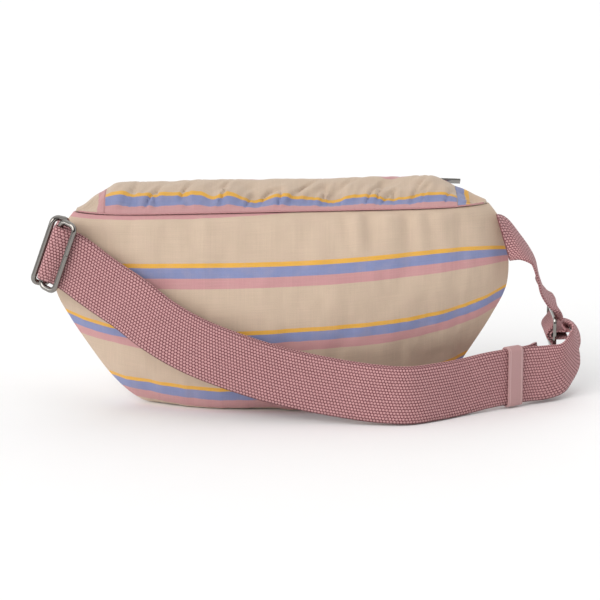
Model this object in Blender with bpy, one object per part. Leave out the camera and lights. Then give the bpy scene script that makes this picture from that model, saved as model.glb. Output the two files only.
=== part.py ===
"""Waist pouch of striped cotton with a webbing belt, seen as it stands on a table.

Metres, +Z up. +X runs along the pouch, -Y is the side worn against the body.
"""
import math

import bmesh
import bpy
from mathutils import Matrix, Vector

MM = 0.001

# Pouch, in millimetres
RIM_Z = 134.0            # seam between the panels and the top
RIM_HALF = 139.0         # half length of that seam
CROWN = 15.0             # rise of the top above its seam
LEAN = 0.022             # the right end stands this share higher over RIM_HALF
CLOTH = 1.2
GAP = 0.4
BACK_RIM_Y = -5.0
FRONT_RIM_Y = 58.0
SIDE_RIM_Y = 14.0
TAB_X = 117.0            # where the zip panel meets the end tabs
LID_EDGE_Y = 41.8
STRIP_EDGE_Y = 50.2
ZIP_Y = 46.0
ZIP_HALF = 104.0
SLIDER_X = 96.0          # parked at the right end
SLIDER_LENGTH = 11.0

# Belt, in millimetres
WEB_WIDTH = 38.0
WEB = 1.8
WIRE = 1.9               # radius of the ring wire
RING_LENGTH = 50.0
RING_SPAN = 11.8         # between the two long bars
BAR = 1.2                # radius of the adjuster's bars
ADJUSTER = Vector((185.0, 37.0, 44.5))
KEEPER_WIDTH = 12.0

# Panel rows from the rim down and under:
# height, half width, side seam y, back y, back fullness, front y, front fullness
ROWS = (
    (133.6, 139.0, 14.0, -5.0, 8.0, 58.0, 10.0),
    (122.0, 147.0, 13.0, -13.0, 4.2, 61.0, 5.0),
    (104.0, 152.0, 12.0, -20.0, 3.0, 63.0, 3.2),
    (80.0, 151.5, 11.0, -24.0, 2.6, 63.5, 2.6),
    (60.0, 142.0, 11.0, -25.5, 2.4, 62.0, 2.5),
    (40.0, 129.5, 11.0, -25.0, 2.4, 58.0, 2.4),
    (22.0, 117.0, 11.0, -22.5, 2.4, 52.0, 2.4),
    (9.0, 105.0, 11.0, -17.5, 2.4, 45.0, 2.4),
    (2.0, 95.0, 11.0, -12.0, 2.4, 38.0, 2.4),
    (0.0, 88.0, 11.0, -7.0, 2.4, 32.0, 2.4),
)
# Section of the top: share of its depth, share of its rise
TOP_SECTION = (
    (0.0, 0.0), (0.09, 0.30), (0.17, 0.70), (0.33, 0.95),
    (0.50, 1.0), (0.68, 0.76), (0.84, 0.36), (1.0, 0.0),
)

# Placement: the drawing's middle moves to the middle of the object's box
SHIFT = Vector((-20.3, -6.9, 0.0))


def clear_scene():
    for obj in list(bpy.data.objects):
        bpy.data.objects.remove(obj, do_unlink=True)


def new_collection(name):
    made = bpy.data.collections.new(name)
    bpy.context.scene.collection.children.link(made)
    return made


def material(name, colour, roughness, metallic=0.0):
    made = bpy.data.materials.new(name)
    made.use_nodes = True
    shader = made.node_tree.nodes["Principled BSDF"]
    shader.inputs["Base Color"].default_value = (*colour, 1.0)
    shader.inputs["Roughness"].default_value = roughness
    shader.inputs["Metallic"].default_value = metallic
    return made


def place(name, mesh, finish, pivot=(0, 0, 0)):
    """A named object whose origin is at the pivot, given in drawing millimetres."""
    mesh.transform(Matrix.Translation(-Vector(pivot)))
    mesh.transform(Matrix.Scale(MM, 4))
    for polygon in mesh.polygons:
        polygon.use_smooth = True
    obj = bpy.data.objects.new(name, mesh)
    obj.location = (Vector(pivot) + SHIFT) * MM
    mesh.materials.append(finish)
    POUCH.objects.link(obj)
    return obj


def to_mesh(bm, name):
    bmesh.ops.recalc_face_normals(bm, faces=bm.faces)
    mesh = bpy.data.meshes.new(name)
    bm.to_mesh(mesh)
    bm.free()
    return mesh


def smoothstep(t):
    t = min(1.0, max(0.0, t))
    return t * t * (3.0 - 2.0 * t)


def spline(points, t):
    """Catmull-Rom through evenly numbered points, t from 0 to len(points) - 1."""
    last = len(points) - 1
    i = min(int(t), last - 1)
    f = t - i
    p0, p1 = points[max(i - 1, 0)], points[i]
    p2, p3 = points[i + 1], points[min(i + 2, last)]
    return tuple(
        0.5 * (2 * b + (c - a) * f + (2 * a - 5 * b + 4 * c - d) * f * f + (3 * b - a - 3 * c + d) * f ** 3)
        for a, b, c, d in zip(p0, p1, p2, p3)
    )


def leaning(point):
    x, y, z = point
    return Vector((x, y, z * (1.0 + LEAN * x / RIM_HALF)))


def slab(name, outer, inner, columns, rows, finish, pivot=(0, 0, 0)):
    """Two matching sheets outer(u, v) and inner(u, v), joined round their edge."""
    bm = bmesh.new()
    sheets = []
    for sheet in (outer, inner):
        sheets.append([[bm.verts.new(sheet(u, v)) for u in columns] for v in rows])
    for grid in sheets:
        for j in range(len(rows) - 1):
            for i in range(len(columns) - 1):
                bm.faces.new((grid[j][i], grid[j][i + 1], grid[j + 1][i + 1], grid[j + 1][i]))
    last_row, last_column = len(rows) - 1, len(columns) - 1
    border = [(0, i) for i in range(last_column)]
    border += [(j, last_column) for j in range(last_row)]
    border += [(last_row, i) for i in range(last_column, 0, -1)]
    border += [(j, 0) for j in range(last_row, 0, -1)]
    for (j, i), (k, m) in zip(border, border[1:] + border[:1]):
        bm.faces.new((sheets[0][j][i], sheets[0][k][m], sheets[1][k][m], sheets[1][j][i]))
    return place(name, to_mesh(bm, name), finish, pivot)


def steps(start, end, count):
    return [start + (end - start) * i / count for i in range(count + 1)]


def panel_point(front, u, v, inset, lowest_top=0.0):
    """u from -1 to 1 between the side seams, v from 0 at the rim to 1 at the bottom seam."""
    down = v * len(ROWS)
    z, half, side, back, fill_b, ahead, fill_f = spline(ROWS, min(down, len(ROWS) - 1.0))
    under = max(0.0, down - (len(ROWS) - 1))
    if down > len(ROWS) - 1.0001:
        z = 0.0
    z = max(z, 0.0)
    half -= 1.5 * inset
    depth = (ahead - side if front else side - back) - inset
    fill = fill_f if front else fill_b
    depth *= 1.0 - under
    part = GAP / 2 + max(0.0, depth - GAP / 2) * (1.0 - abs(u) ** fill)
    y = side + part if front else side - part
    z += inset * smoothstep(1.0 - z / 14.0)
    z = min(z, RIM_Z - GAP - lowest_top)
    return leaning((half * u, y, z))


def panel(name, front, near, far, finish, columns=26, rows=20, drop=0.0):
    across = [math.sin(math.pi / 2 * u) for u in steps(-1.0, 1.0, columns)]
    down = [drop / 120.0 + (1.0 - drop / 120.0) * v for v in steps(0.0, 1.0, rows)]
    return slab(
        name,
        lambda u, v: panel_point(front, u, v, near, drop),
        lambda u, v: panel_point(front, u, v, far, drop),
        across, down, finish,
    )


def rim_back(x):
    return BACK_RIM_Y + (SIDE_RIM_Y - BACK_RIM_Y) * abs(x / RIM_HALF) ** 8


def rim_front(x):
    return FRONT_RIM_Y - (FRONT_RIM_Y - SIDE_RIM_Y) * abs(x / RIM_HALF) ** 10


def section_rise(share):
    """Rise of the top at a share of its depth."""
    share = min(1.0, max(0.0, share))
    for i in range(len(TOP_SECTION) - 1):
        if share <= TOP_SECTION[i + 1][0]:
            break
    low, high = i, i + 1.0
    for _ in range(40):
        middle = (low + high) / 2
        if spline(TOP_SECTION, middle)[0] < share:
            low = middle
        else:
            high = middle
    return max(0.0, spline(TOP_SECTION, low)[1])


def top_height(x, y, depth):
    share = (y - rim_back(x)) / (rim_front(x) - rim_back(x))
    crown = CROWN * smoothstep((RIM_HALF - abs(x)) / 31.0)
    return RIM_Z + CLOTH - depth + crown * section_rise(share)


def top_point(x, y, depth):
    return leaning((x, y, top_height(x, y, depth)))


def top_sheet(name, xs, y_from, y_to, near, far, finish, rows=8, pivot=(0, 0, 0)):
    """A sheet of the top between two lines y_from(x) and y_to(x), each pulled in by its depth."""
    def sheet(depth):
        def point(x, v):
            start = max(y_from(x), rim_back(x) + depth)
            end = min(y_to(x), rim_front(x) - depth)
            return top_point(x, start + (end - start) * v, depth)
        return point
    return slab(name, sheet(near), sheet(far), xs, steps(0.0, 1.0, rows), finish, pivot)


def ribbon(name, points, widths, thickness, finish, across=3, every=3, half=WEB_WIDTH / 2, pivot=(0, 0, 0),
           sewn=False):
    """Webbing along a line of points, its width along the directions given."""
    line = [Vector(spline(points, i / every)) for i in range((len(points) - 1) * every + 1)]
    sides = [Vector(spline(widths, i / every)) for i in range((len(points) - 1) * every + 1)]
    frames = []
    for i, point in enumerate(line):
        along = (line[min(i + 1, len(line) - 1)] - line[max(i - 1, 0)]).normalized()
        free = min(1.0, i / 10) if sewn else 1.0
        side = (sides[i] - sides[i].dot(along) * free * along).normalized()
        frames.append((point, side, along.cross(side).normalized()))

    def sheet(offset):
        def point(u, v):
            centre, side, normal = frames[round(v)]
            return centre + side * (u * half) + normal * offset
        return point
    return slab(
        name, sheet(thickness / 2), sheet(-thickness / 2),
        steps(-1.0, 1.0, across), list(range(len(line))), finish, pivot,
    )


def rounded_ring(length, span, radius, arc=5):
    """Closed line of a rectangle with rounded corners, in its own (u, n) plane."""
    corners = (
        (length / 2 - radius, span / 2 - radius, 0.0),
        (-length / 2 + radius, span / 2 - radius, 90.0),
        (-length / 2 + radius, -span / 2 + radius, 180.0),
        (length / 2 - radius, -span / 2 + radius, 270.0),
    )
    line = []
    for cu, cn, start in corners:
        for step in steps(0.0, 90.0, arc):
            turn = math.radians(start + step)
            line.append((cu + radius * math.cos(turn), cn + radius * math.sin(turn)))
    return line


def tube(name, line, radius, finish, closed=True, pivot=(0, 0, 0), sides=2):
    """A round wire along a line of points."""
    curve = bpy.data.curves.new(name, "CURVE")
    curve.dimensions = "3D"
    curve.bevel_depth = radius
    curve.bevel_resolution = sides
    curve.use_fill_caps = True
    path = curve.splines.new("POLY")
    path.points.add(len(line) - 1)
    for point, place_at in zip(path.points, line):
        point.co = (*place_at, 1.0)
    path.use_cyclic_u = closed
    helper = bpy.data.objects.new(name + "_line", curve)
    mesh = bpy.data.meshes.new_from_object(helper)
    bpy.data.objects.remove(helper)
    bm = bmesh.new()
    bm.from_mesh(mesh)
    bmesh.ops.remove_doubles(bm, verts=bm.verts, dist=1e-4)
    return place(name, to_mesh(bm, name), finish, pivot)


def boxes(name, parts, turn, centre, finish, tilt=0.0):
    """Boxes given by two corners, joined, tilted about Y, turned about X and moved to a centre."""
    made = []
    for low, high in parts:
        bm = bmesh.new()
        bmesh.ops.create_cube(bm, size=1.0)
        size = [b - a for a, b in zip(low, high)]
        middle = [(a + b) / 2 for a, b in zip(low, high)]
        bmesh.ops.scale(bm, vec=size, verts=bm.verts)
        bmesh.ops.translate(bm, vec=middle, verts=bm.verts)
        bmesh.ops.rotate(bm, matrix=Matrix.Rotation(tilt, 3, "Y"), verts=bm.verts)
        bmesh.ops.rotate(bm, matrix=Matrix.Rotation(turn, 3, "X"), verts=bm.verts)
        bmesh.ops.translate(bm, vec=centre, verts=bm.verts)
        made.append(place(name, to_mesh(bm, name), finish, centre))
    body = made[0]
    for other in made[1:]:
        join = body.modifiers.new("Join", "BOOLEAN")
        join.operation = "UNION"
        join.solver = "EXACT"
        join.object = other
        POUCH.objects.unlink(other)
        CUTTERS.objects.link(other)
        other.hide_render = True
        other.display_type = "WIRE"
    return body


def make_panels():
    panel("back_panel", False, 0.0, CLOTH, COTTON)
    panel("front_panel", True, 0.0, CLOTH, COTTON)
    panel("lining_back", False, CLOTH + GAP, CLOTH + GAP + 0.6, LINING, 20, 15, drop=5.0)
    panel("lining_front", True, CLOTH + 1.4, CLOTH + 2.0, LINING, 20, 15, drop=5.0)


def strip_edge(x):
    """How far forward the front strip starts; it stays 4 mm wide where the rim turns in."""
    return min(STRIP_EDGE_Y, rim_front(x) - 4.0)


def make_top():
    middle = steps(-TAB_X, TAB_X, 26)
    top_sheet("top_gusset", middle, rim_back, lambda x: LID_EDGE_Y, 0.0, CLOTH, COTTON, 10, LID_AXIS)
    top_sheet("front_gusset", middle, strip_edge, rim_front, 0.0, CLOTH, COTTON, 4)
    under = CLOTH + GAP
    top_sheet(
        "gusset_lining", middle, lambda x: rim_back(x) + 2.0, lambda x: 33.6,
        under, under + 0.6, LINING, 8, LID_AXIS,
    )
    for side, name in ((-1, "end_tab_left"), (1, "end_tab_right")):
        ends = steps(side * (TAB_X + 0.5), side * (RIM_HALF - 2.0), 6)
        top_sheet(name, ends, rim_back, rim_front, 0.0, CLOTH, COTTON, 14)


def make_zip():
    line = steps(-ZIP_HALF, ZIP_HALF, 24)
    undone = steps(-ZIP_HALF, SLIDER_X - 10.0, 22)
    under = CLOTH + GAP + 0.2
    top_sheet(
        "zip_tape_back", undone, lambda x: 34.0, lambda x: 44.3, under, under + 0.6, TAPE, 4, LID_AXIS,
    )
    top_sheet("zip_tape_front", line, lambda x: 47.1, lambda x: 51.8, under, under + 0.6, TAPE, 4)
    top_sheet(
        "zip_coil_back", undone, lambda x: 42.9, lambda x: 44.9, 1.3, -0.3, COIL, 2, LID_AXIS,
    )
    top_sheet("zip_coil_front", line, lambda x: 46.7, lambda x: 48.8, 1.3, -0.3, COIL, 2)
    for x, name in ((-ZIP_HALF - 2.2, "zip_stop_closed"), (ZIP_HALF + 0.6, "zip_stop_open")):
        top_sheet(name, steps(x, x + 1.6, 1), lambda x: 46.7, lambda x: 48.8, -0.4, 1.3, NICKEL, 1)

    length = SLIDER_LENGTH / 2
    boxes(
        "zip_slider",
        (
            ((-length, -3.4, 0.8), (length, 3.4, 1.7)),
            ((-length, -3.2, -4.3), (length, 3.2, -3.4)),
            ((-1.2, -0.3, -3.8), (length - 0.8, 0.3, 1.2)),
            ((-4.2, -0.6, 1.3), (-3.0, 0.6, 5.1)),
            ((3.0, -0.6, 1.3), (4.2, 0.6, 5.1)),
            ((-4.2, -0.6, 3.9), (4.2, 0.6, 5.1)),
        ),
        ZIP_TURN, SLIDER_AT, NICKEL,
    )
    boxes(
        "zip_pull",
        (
            ((-0.6, -2.6, -0.6), (0.6, 2.6, 0.6)),
            ((-0.6, -2.6, -0.6), (7.4, -1.4, 0.6)),
            ((-0.6, 1.4, -0.6), (7.4, 2.6, 0.6)),
            ((7.0, -3.2, -0.6), (24.0, 3.2, 0.6)),
        ),
        ZIP_TURN, PULL_AT, NICKEL, tilt=math.radians(2.0),
    )


def ring_place(u, n, b):
    """A point by its place up along, across and in front of the rings' middle."""
    return RING_AT + RING_UP * u + RING_ACROSS * n + RING_OUT * b


def make_ring(name, left, right, pivot):
    middle = [(a + b) / 2 for a, b in zip(left, right)]
    across = Vector((right[0] - left[0], right[1] - left[1])).normalized()
    line = [
        ring_place(u, middle[0] + across.x * n, middle[1] + across.y * n)
        for u, n in rounded_ring(RING_LENGTH - 2 * WIRE, RING_SPAN, 4.6)
    ]
    return tube(name, line, WIRE, NICKEL, pivot=ring_place(0.0, *pivot))


def make_left_hardware():
    make_ring("bag_ring", BAG_RING[0], BAG_RING[1], BAG_RING[1])
    make_ring("strap_ring", STRAP_RING[0], STRAP_RING[1], STRAP_RING[0])
    turn = WIRE + 0.4 + WEB / 2
    centre = BAG_RING[1]
    loop = [(-5.2, -16.6), (-4.6, -14.2)]
    for angle in steps(196.0, -70.0, 9):
        loop.append((
            centre[0] + turn * math.cos(math.radians(angle)),
            centre[1] + turn * math.sin(math.radians(angle)),
        ))
    loop += [(-1.4, -14.2), (-2.2, -16.6)]
    points = [ring_place(0.0, n, b) for n, b in loop]
    ribbon("ring_tab", points, [RING_UP] * len(points), WEB, WEBBING, 1, 1)


def belt_route():
    """Middle line of the belt, with the direction of its width, from the right side seam to its sewn end."""
    points, widths = [], []

    def add(point, width):
        points.append(Vector(point))
        widths.append(Vector(width))

    ax, ay, az = ADJUSTER
    outer = BAR + 0.4 + WEB / 2
    inner = BAR + 0.4 + WEB + 0.4 + WEB / 2
    flat = (0.0, 1.0, 0.0)
    back = (0.0, -1.0, 0.0)
    add((148.8, 2.4, 112.6), (-0.28, 0.2, 0.93))
    add((156.3, 5.5, 112.0), (-0.2, 0.72, 0.6))
    add((164.2, 10.5, 105.4), (-0.12, 0.92, 0.3))
    add((170.8, 17.0, 92.5), (0.0, 0.98, 0.2))
    add((174.8, 23.0, 80.5), (0.05, 0.99, 0.08))
    add((179.2, 28.8, 71.6), (0.03, 0.99, 0.02))
    add((184.0, 33.6, 65.8), flat)
    add((ax + outer + 0.2, ay - 0.8, az + 16.0), flat)
    add((ax + outer, ay, az + 12.0), flat)
    add((ax - 0.8, ay, az + 6.3), flat)
    add((ax - inner, ay, az), flat)
    add((ax - 0.8, ay, az - 6.3), flat)
    add((ax + outer, ay, az - 12.0), flat)
    add((ax + outer + 1.0, ay - 0.5, az - 16.5), flat)
    add((187.8, 36.2, 23.0), (0.2, 1.0, 0.0))
    add((180.2, 32.6, 17.5), (-0.5, 0.4, 0.77))
    add((176.0, 21.5, 19.5), (-0.2, 0.15, 0.97))
    add((170.0, 12.2, 21.0), (0.0, 0.0, 1.0))

    for point, width, gap in reversed(RUN):
        add(run_point(point, -gap), width)
    turn = WIRE + 0.4 + WEB / 2
    for n in (4.0, 1.4):
        add(ring_place(0.0, STRAP_RING[0][0] + n, -turn), RING_UP)
    for angle in steps(-90.0, -270.0, 8):
        n = STRAP_RING[0][0] + turn * math.cos(math.radians(angle))
        b = STRAP_RING[0][1] + turn * math.sin(math.radians(angle))
        add(ring_place(0.0, n, b), RING_UP)
    for n in (1.4, 4.0):
        add(ring_place(0.0, STRAP_RING[0][0] + n, turn), RING_UP)
    for point, width, gap in RUN:
        add(run_point(point, gap), width)

    add((180.0, 8.4, 21.2), (0.0, -0.05, 1.0))
    add((191.6, 13.4, 24.0), (-0.1, -0.3, 0.95))
    add((199.4, 23.6, 32.0), (-0.35, -0.8, 0.5))
    add((200.8, 31.5, 40.5), (-0.1, -1.0, 0.1))
    add((197.2, ay, az + 1.8), back)
    add((191.5, ay, az + outer), back)
    add((187.0, ay, az + outer), back)
    for angle in steps(90.0, 270.0, 6):
        add((
            ax + outer * math.cos(math.radians(angle)), ay,
            az + outer * math.sin(math.radians(angle)),
        ), back)
    add((ax + 1.6, ay, az - outer), back)
    add((ax + 4.5, ay, az - outer), back)
    add((ax + 9.5, ay, az - outer + 0.4), back)
    return points, widths


def run_point(point, gap):
    """A layer of the run, in front of its middle line by the gap."""
    x, y, z, away_x, away_y = point
    return Vector((x + away_x * gap, y + away_y * gap, z))


def make_belt():
    points, widths = belt_route()
    ribbon("waist_strap", points, widths, WEB, WEBBING, 2, 3, sewn=True)


def make_adjuster():
    ax, ay, az = ADJUSTER
    frame = [
        Vector((ax, ay + u, az + n)) for u, n in rounded_ring(WEB_WIDTH + 8.0, 24.0, 3.0, 4)
    ]
    tube("adjuster_frame", frame, BAR, NICKEL)
    reach = WEB_WIDTH / 2 + 4.0 - BAR - 0.3
    tube(
        "adjuster_bar", [Vector((ax, ay - reach, az)), Vector((ax, ay + reach, az))],
        BAR, NICKEL, closed=False,
    )


def make_keeper():
    """A loop of flat tape round both layers."""
    wall, inner_tall, inner_thick = 0.9, WEB_WIDTH + 1.0, 7.6
    bm = bmesh.new()
    rings = []
    for along, out in ((-0.5, wall), (0.5, wall), (0.5, 0.0), (-0.5, 0.0)):
        line = rounded_ring(inner_tall + 2 * out, inner_thick + 2 * out, 1.6 + out, 3)
        rings.append([
            bm.verts.new(
                KEEPER_AT + KEEPER_OUT * across + Vector((0, 0, up)) + KEEPER_ALONG * along * KEEPER_WIDTH
            )
            for up, across in line
        ])
    count = len(rings[0])
    for a, b in zip(rings, rings[1:] + rings[:1]):
        for i in range(count):
            j = (i + 1) % count
            bm.faces.new((a[i], a[j], b[j], b[i]))
    place("keeper_loop", to_mesh(bm, "keeper_loop"), KEEPER, KEEPER_AT)


clear_scene()
POUCH = new_collection("treat_pouch")
CUTTERS = new_collection("cutters")

COTTON = material("striped_cotton", (0.86, 0.80, 0.70), 0.9)
LINING = material("lining", (0.83, 0.78, 0.68), 0.9)
TAPE = material("zip_tape", (0.80, 0.72, 0.62), 0.9)
COIL = material("zip_coil", (0.78, 0.70, 0.60), 0.5)
WEBBING = material("dusty_pink_webbing", (0.62, 0.33, 0.34), 0.85)
KEEPER = material("keeper_webbing", (0.74, 0.46, 0.45), 0.8)
NICKEL = material("polished_nickel", (0.62, 0.60, 0.57), 0.2, 1.0)

LID_AXIS = leaning((0.0, BACK_RIM_Y, RIM_Z))
ZIP_TURN = math.atan2(
    top_height(0.0, ZIP_Y + 3.0, 0.0) - top_height(0.0, ZIP_Y - 3.0, 0.0), 6.0
)
SLIDER_AT = top_point(SLIDER_X, ZIP_Y, -0.2)
ZIP_OUT = Vector((0.0, -math.sin(ZIP_TURN), math.cos(ZIP_TURN)))
PULL_AT = SLIDER_AT + ZIP_OUT * 2.8 + Vector((1.6, 0.0, 0.0))

RING_AT = Vector((-150.1, -7.0, 106.0))
RING_UP = Vector((0.334, 0.0, 0.943)).normalized()
RING_ACROSS = Vector((0.943, 0.0, -0.334)).normalized()
RING_OUT = Vector((0.0, -1.0, 0.0))
BAG_RING = ((-8.5, -2.7), (1.5, -9.1))
STRAP_RING = ((-2.45, 0.0), (7.45, 6.4))

# Middle line of the run over the back: x, y, z, and which way its front layer lies; width; half gap
RUN = (
    ((-144.0, -7.0, 103.4, 0.0, -1.0), (0.36, 0.0, 0.93), 2.9),
    ((-135.5, -8.8, 98.4, 0.1, -0.99), (0.5, 0.0, 0.87), 2.6),
    ((-125.7, -11.8, 91.5, 0.2, -0.98), (0.56, 0.0, 0.83), 2.3),
    ((-113.0, -16.0, 83.4, 0.25, -0.97), (0.58, 0.0, 0.81), 2.1),
    ((-100.4, -21.0, 76.0, 0.25, -0.97), (0.62, 0.0, 0.78), 2.0),
    ((-80.5, -27.5, 62.0, 0.2, -0.98), (0.57, 0.0, 0.82), 2.0),
    ((-60.5, -31.5, 51.0, 0.15, -0.99), (0.5, 0.0, 0.87), 2.0),
    ((-40.6, -34.5, 43.0, 0.1, -1.0), (0.4, 0.0, 0.92), 2.0),
    ((-14.0, -37.0, 34.3, 0.05, -1.0), (0.3, 0.0, 0.95), 2.0),
    ((12.6, -39.0, 27.7, 0.05, -1.0), (0.2, 0.0, 0.98), 2.0),
    ((39.0, -42.0, 23.2, 0.1, -1.0), (0.12, 0.0, 0.99), 2.0),
    ((64.0, -46.0, 20.6, 0.05, -1.0), (0.05, 0.0, 1.0), 2.0),
    ((84.0, -46.0, 19.6, 0.2, -0.98), (0.0, 0.0, 1.0), 1.8),
    ((102.0, -37.0, 19.5, 0.5, -0.87), (0.0, 0.0, 1.0), 1.5),
    ((119.0, -25.0, 19.5, 0.55, -0.83), (0.0, 0.0, 1.0), 1.3),
    ((137.0, -13.5, 20.9, 0.53, -0.85), (0.0, 0.0, 1.0), 1.2),
    ((153.0, -3.5, 21.2, 0.53, -0.85), (0.0, 0.0, 1.0), 1.2),
    ((165.0, 4.0, 21.2, 0.53, -0.85), (0.0, 0.0, 1.0), 1.5),
)
KEEPER_AT = Vector((155.5, -1.9, 21.2))
KEEPER_ALONG = Vector((0.85, 0.53, 0.0)).normalized()
KEEPER_OUT = Vector((-0.53, 0.85, 0.0)).normalized() * -1.0

make_panels()
make_top()
make_zip()
make_left_hardware()
make_belt()
make_adjuster()
make_keeper()
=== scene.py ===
"""Looks of the striped waist pouch: camera, light, cloth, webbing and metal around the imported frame.

The drawing is in millimetres, as in the part's source. world() turns it into metres in the shared frame.
"""
import math

import bmesh
import bpy
import numpy as np
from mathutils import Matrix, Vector, noise

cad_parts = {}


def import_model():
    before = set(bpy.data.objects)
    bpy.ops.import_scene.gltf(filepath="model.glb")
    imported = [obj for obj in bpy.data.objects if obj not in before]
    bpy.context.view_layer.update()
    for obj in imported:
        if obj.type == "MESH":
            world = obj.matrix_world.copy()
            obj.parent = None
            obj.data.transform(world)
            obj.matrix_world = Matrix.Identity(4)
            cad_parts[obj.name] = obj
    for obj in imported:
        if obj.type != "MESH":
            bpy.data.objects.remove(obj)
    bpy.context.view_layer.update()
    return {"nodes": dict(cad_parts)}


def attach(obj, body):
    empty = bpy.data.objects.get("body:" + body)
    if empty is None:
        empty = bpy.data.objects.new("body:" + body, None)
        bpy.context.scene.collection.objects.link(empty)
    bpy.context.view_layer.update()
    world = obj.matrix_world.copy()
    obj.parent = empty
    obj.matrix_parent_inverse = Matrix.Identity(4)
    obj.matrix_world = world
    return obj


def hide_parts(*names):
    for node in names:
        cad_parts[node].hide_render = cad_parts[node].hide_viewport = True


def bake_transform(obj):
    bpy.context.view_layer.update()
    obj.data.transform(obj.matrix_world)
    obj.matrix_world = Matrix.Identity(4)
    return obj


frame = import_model()

MM = 0.001
SHIFT = Vector((-20.3, -6.9, 0.0))

# ---------------------------------------------------------------- camera and light

LOOK_AT = Vector((-0.0077, -0.0169, 0.0755))
ELEVATION = math.radians(13.0)
DISTANCE = 1.7
VIEW_WIDTH = 0.399


def add_camera():
    data = bpy.data.cameras.new("camera")
    data.sensor_width = 36.0
    data.lens = 36.0 * DISTANCE / VIEW_WIDTH
    data.clip_end = 50.0
    camera = bpy.data.objects.new("camera", data)
    away = Vector((0.0, -math.cos(ELEVATION), math.sin(ELEVATION)))
    camera.location = LOOK_AT + away * DISTANCE
    camera.rotation_euler = away.to_track_quat("Z", "Y").to_euler()
    bpy.context.scene.collection.objects.link(camera)
    bpy.context.scene.camera = camera


def add_sun(name, towards, strength, angle, colour):
    data = bpy.data.lights.new(name, "SUN")
    data.energy = strength
    data.angle = math.radians(angle)
    data.color = colour
    lamp = bpy.data.objects.new(name, data)
    lamp.rotation_euler = Vector(towards).to_track_quat("Z", "Y").to_euler()
    bpy.context.scene.collection.objects.link(lamp)


def add_world():
    world = bpy.data.worlds.new("studio")
    bpy.context.scene.world = world
    world.use_nodes = True
    tree = world.node_tree
    where = tree.nodes.new("ShaderNodeTexCoord")
    parts = tree.nodes.new("ShaderNodeSeparateXYZ")
    tree.links.new(where.outputs["Generated"], parts.inputs[0])
    ramp = tree.nodes.new("ShaderNodeMapRange")
    ramp.interpolation_type = "SMOOTHSTEP"
    ramp.inputs["From Min"].default_value = -0.95
    ramp.inputs["From Max"].default_value = -0.35
    ramp.inputs["To Min"].default_value = 0.12
    ramp.inputs["To Max"].default_value = 0.78
    tree.links.new(parts.outputs["Y"], ramp.inputs["Value"])
    light = tree.nodes["Background"]
    light.inputs["Strength"].default_value = 1.0
    tree.links.new(ramp.outputs["Result"], light.inputs["Color"])


add_camera()
bpy.context.scene.view_settings.view_transform = "Standard"
add_world()
add_sun("key", (-0.58, -0.76, 0.62), 1.60, 42.0, (1.0, 0.985, 0.97))
add_sun("strip", (-0.92, -0.40, 0.27), 0.22, 17.0, (1.0, 1.0, 1.0))
add_sun("top", (0.25, 0.35, 1.0), 0.42, 80.0, (0.97, 0.985, 1.0))

# ---------------------------------------------------------------- drawing, as in the part's source

RIM_Z = 134.0
RIM_HALF = 139.0
CROWN = 15.0
LEAN = 0.022
CLOTH = 1.2
GAP = 0.4
BACK_RIM_Y = -5.0
FRONT_RIM_Y = 58.0
SIDE_RIM_Y = 14.0
TAB_X = 117.0
LID_EDGE_Y = 41.8
STRIP_EDGE_Y = 50.2
ZIP_HALF = 104.0
SLIDER_X = 96.0
WEB_WIDTH = 38.0
WEB = 1.8
WIRE = 1.9
RING_LENGTH = 50.0
RING_SPAN = 11.8
BAR = 1.2
ADJUSTER = Vector((185.0, 37.0, 44.5))
KEEPER_WIDTH = 12.0
ROWS = (
    (133.6, 139.0, 14.0, -5.0, 8.0, 58.0, 10.0),
    (122.0, 147.0, 13.0, -13.0, 4.2, 61.0, 5.0),
    (104.0, 152.0, 12.0, -20.0, 3.0, 63.0, 3.2),
    (80.0, 151.5, 11.0, -24.0, 2.6, 63.5, 2.6),
    (60.0, 142.0, 11.0, -25.5, 2.4, 62.0, 2.5),
    (40.0, 129.5, 11.0, -25.0, 2.4, 58.0, 2.4),
    (22.0, 117.0, 11.0, -22.5, 2.4, 52.0, 2.4),
    (9.0, 105.0, 11.0, -17.5, 2.4, 45.0, 2.4),
    (2.0, 95.0, 11.0, -12.0, 2.4, 38.0, 2.4),
    (0.0, 88.0, 11.0, -7.0, 2.4, 32.0, 2.4),
)
TOP_SECTION = (
    (0.0, 0.0), (0.09, 0.30), (0.17, 0.70), (0.33, 0.95),
    (0.50, 1.0), (0.68, 0.76), (0.84, 0.36), (1.0, 0.0),
)
RING_AT = Vector((-150.1, -7.0, 106.0))
RING_UP = Vector((0.334, 0.0, 0.943)).normalized()
RING_ACROSS = Vector((0.943, 0.0, -0.334)).normalized()
RING_OUT = Vector((0.0, -1.0, 0.0))
BAG_RING = ((-8.5, -2.7), (1.5, -9.1))
STRAP_RING = ((-2.45, 0.0), (7.45, 6.4))
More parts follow.
